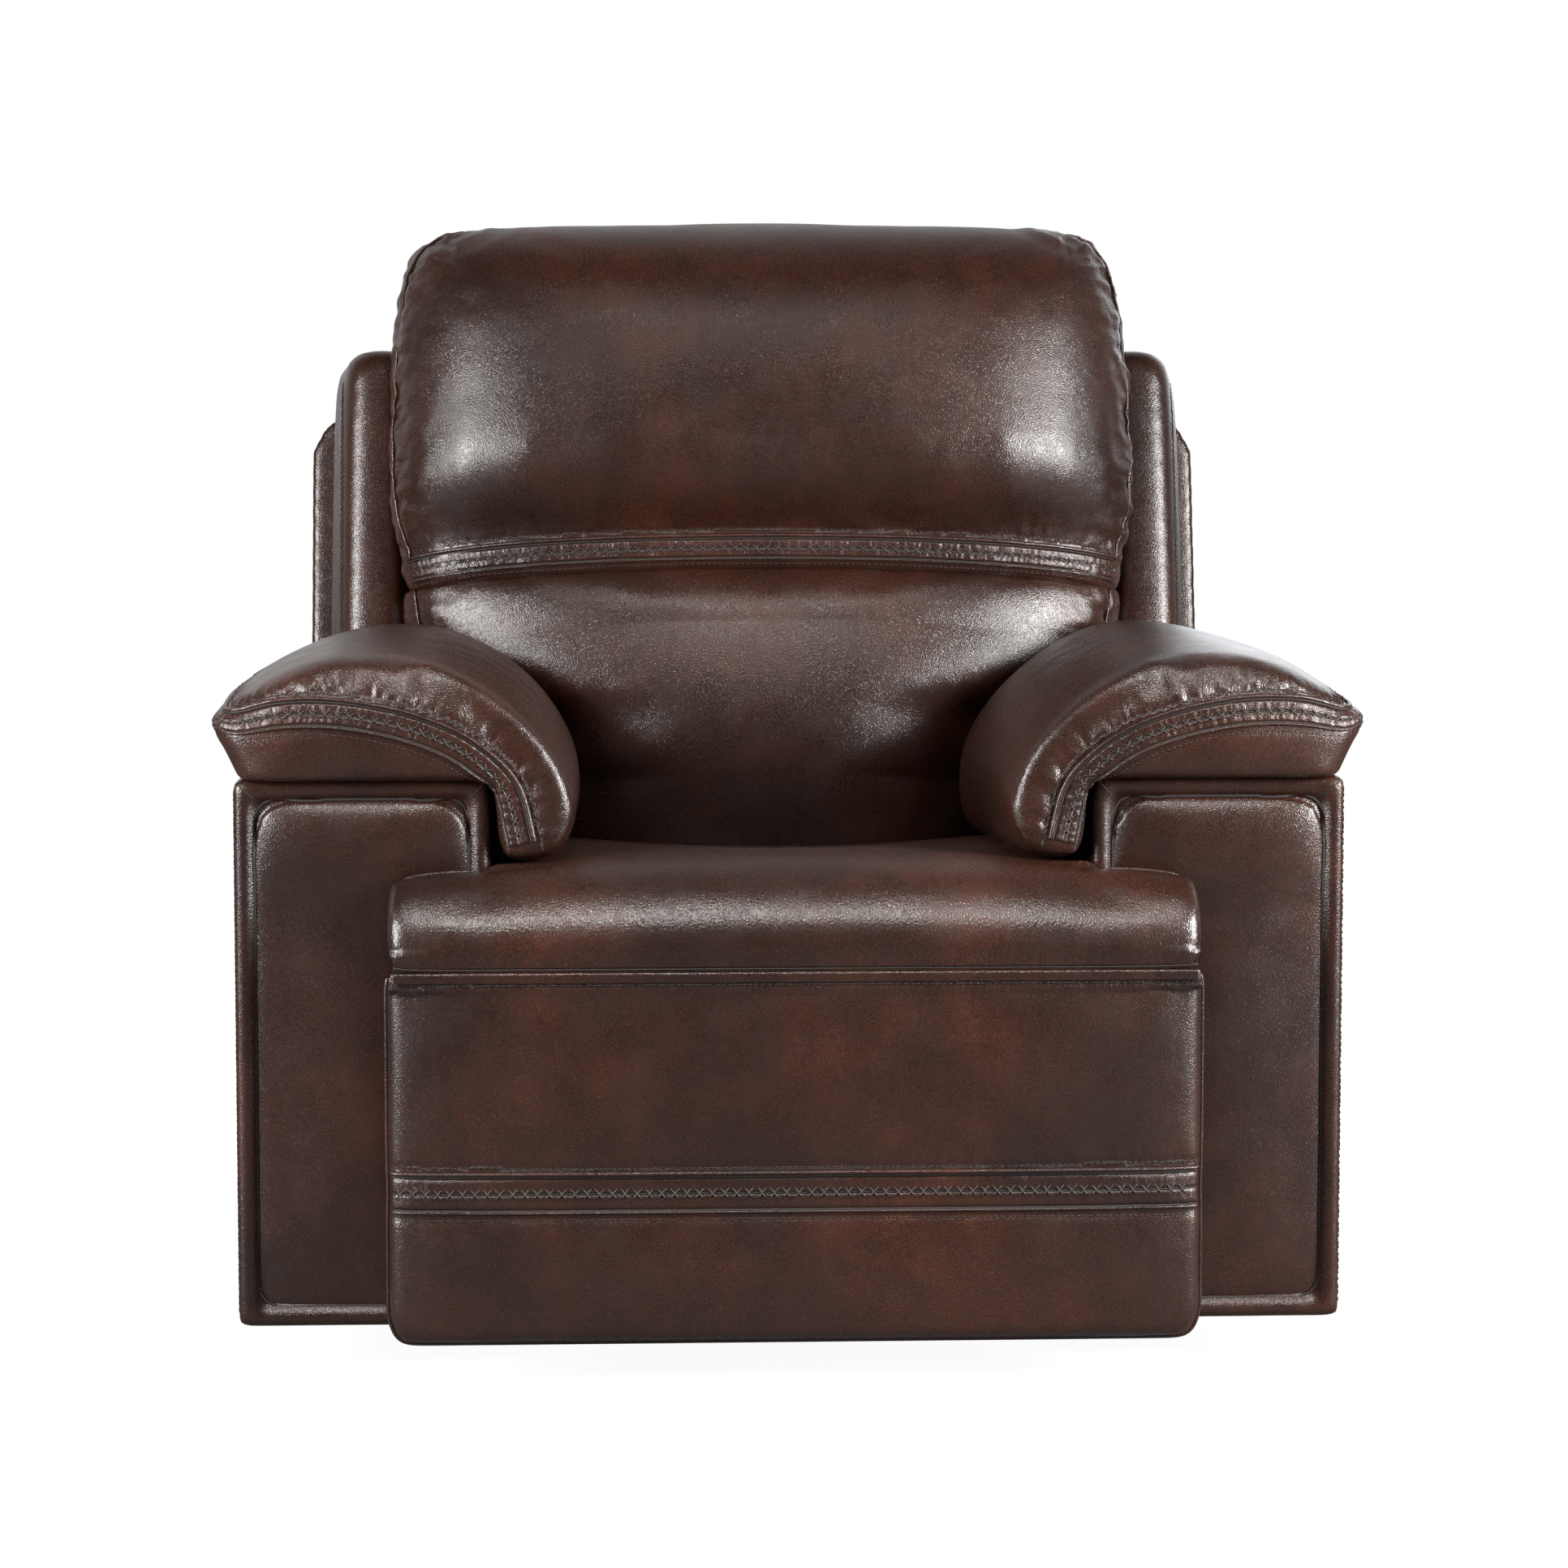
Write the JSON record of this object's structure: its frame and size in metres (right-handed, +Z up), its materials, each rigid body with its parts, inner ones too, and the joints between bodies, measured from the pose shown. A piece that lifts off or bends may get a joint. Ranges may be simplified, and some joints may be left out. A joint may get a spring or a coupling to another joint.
{
  "type": "power glider recliner",
  "caption": "Wide leather recliner armchair with pillow arms and a T-shaped seat, on a swinging glider base, with a folding legrest and a reclining back.",
  "frame": {"origin": "on the floor, under the middle of the chair's bounding box with the back upright and the legrest closed", "axes": "+Z up, the sitter faces -Y, +X is on the right as seen from the front"},
  "size_m": [1.022, 0.9842, 1.048],
  "materials": {
    "leather": "semi-gloss pebbled",
    "leather_panel": "semi-gloss pebbled",
    "steel_black": "satin black",
    "steel_zinc": "zinc plated",
    "plastic": "matte",
    "plywood": "raw"
  },
  "bodies": {
    "base": {"base_rail_left": "steel_black", "base_rail_right": "steel_black", "base_cross_front": "steel_black", "base_cross_rear": "steel_black", "floor_glide_front_left": "plastic", "floor_glide_front_right": "plastic", "floor_glide_rear_left": "plastic", "floor_glide_rear_right": "plastic", "glider_post_left": "steel_black", "glider_post_right": "steel_black"},
    "glide_links_front": {"glide_link_front_left": "steel_zinc", "glide_link_front_right": "steel_zinc"},
    "glide_links_rear": {"glide_link_rear_left": "steel_zinc", "glide_link_rear_right": "steel_zinc"},
    "chassis": {"chassis_plate_left": "steel_black", "chassis_plate_right": "steel_black", "chassis_tube_front": "steel_black", "chassis_tube_rear": "steel_black", "seat_rail_left": "steel_black", "seat_rail_right": "steel_black", "seat_rail_front": "steel_black", "seat_rail_rear": "steel_black", "seat_spring_1": "steel_zinc", "seat_spring_2": "steel_zinc", "seat_spring_3": "steel_zinc", "seat_cushion": "leather", "arm_left": "leather_panel", "arm_right": "leather_panel", "arm_facing_left": "leather", "arm_facing_right": "leather", "arm_pad_left": "leather", "arm_pad_right": "leather", "rear_skirt": "leather_panel", "actuator_track": "steel_zinc", "motor_housing": "plastic", "control_plate": "plastic"},
    "button_recline": {"button_recline": "plastic"},
    "button_upright": {"button_upright": "plastic"},
    "actuator_slider": {"actuator_slider": "plastic"},
    "legrest_front_links": {"legrest_swing_front_left": "steel_black", "legrest_swing_front_right": "steel_black"},
    "legrest_rear_links": {"legrest_swing_rear_left": "steel_black", "legrest_swing_rear_right": "steel_black", "drive_tube": "steel_zinc"},
    "legrest_carriers": {"legrest_carrier_left": "steel_black", "legrest_carrier_right": "steel_black"},
    "legrest_tilt_links": {"legrest_tilt_left": "steel_zinc", "legrest_tilt_right": "steel_zinc"},
    "legrest": {"legrest_bracket_left": "steel_black", "legrest_bracket_right": "steel_black", "legrest_board": "plywood", "legrest_pad": "leather"},
    "back": {"back_bracket_left": "steel_black", "back_bracket_right": "steel_black", "back_board": "plywood", "back_wing_left": "leather", "back_wing_right": "leather", "outside_back": "leather", "back_cushion_lumbar": "leather", "back_cushion_head": "leather"}
  },
  "joints": [
    {"name": "glide", "type": "hinge", "parent": "base", "child": "glide_links_front", "pos_m": [0, -0.14, 0.262], "axis": [1, 0, 0], "range_deg": [-18, 18]},
    {"name": "glide_level", "type": "hinge", "parent": "glide_links_front", "child": "chassis", "pos_m": [0, -0.14, 0.097], "axis": [1, 0, 0], "range_deg": [-18, 18]},
    {"name": "glide_rear", "type": "hinge", "parent": "base", "child": "glide_links_rear", "pos_m": [0, 0.13, 0.262], "axis": [1, 0, 0], "range_deg": [-18, 18]},
    {"name": "recline", "type": "hinge", "parent": "chassis", "child": "back", "pos_m": [0, 0.17, 0.37], "axis": [-1, 0, 0], "range_deg": [0, 35]},
    {"name": "legrest", "type": "hinge", "parent": "chassis", "child": "legrest_front_links", "pos_m": [0, -0.27, 0.315], "axis": [-1, 0, 0], "range_deg": [0, 90]},
    {"name": "legrest_rear_swing", "type": "hinge", "parent": "chassis", "child": "legrest_rear_links", "pos_m": [0, -0.20106, 0.30284], "axis": [-1, 0, 0], "range_deg": [0, 90]},
    {"name": "legrest_carry", "type": "hinge", "parent": "legrest_front_links", "child": "legrest_carriers", "pos_m": [0, -0.18197, 0.09711], "axis": [-1, 0, 0], "range_deg": [-90, 0]},
    {"name": "legrest_tilt", "type": "hinge", "parent": "legrest_front_links", "child": "legrest_tilt_links", "pos_m": [0, -0.16698, 0.06002], "axis": [-1, 0, 0], "range_deg": [-90, 0]},
    {"name": "legrest_panel", "type": "hinge", "parent": "legrest_carriers", "child": "legrest", "pos_m": [0, -0.385, 0.185], "axis": [-1, 0, 0], "range_deg": [0, 90]},
    {"name": "actuator_travel", "type": "slide", "parent": "chassis", "child": "actuator_slider", "axis": [0, -0.9205, 0.3907], "range_m": [0, 0.17]},
    {"name": "press_recline", "type": "slide", "parent": "chassis", "child": "button_recline", "axis": [1, 0, 0], "range_m": [0, 0.002], "stiffness_N_per_m": 700},
    {"name": "press_upright", "type": "slide", "parent": "chassis", "child": "button_upright", "axis": [1, 0, 0], "range_m": [0, 0.002], "stiffness_N_per_m": 700}
  ],
  "couplings": [
    {"joint": "glide_level", "follows": "glide", "ratio": -1},
    {"joint": "glide_rear", "follows": "glide", "ratio": 1},
    {"joint": "legrest_rear_swing", "follows": "legrest", "ratio": 1},
    {"joint": "legrest_carry", "follows": "legrest", "ratio": -1},
    {"joint": "legrest_tilt", "follows": "legrest", "ratio": -1},
    {"joint": "legrest_panel", "follows": "legrest", "ratio": 1},
    {"joint": "actuator_travel", "follows": "legrest", "m_per_rad": 0.10804}
  ]
}
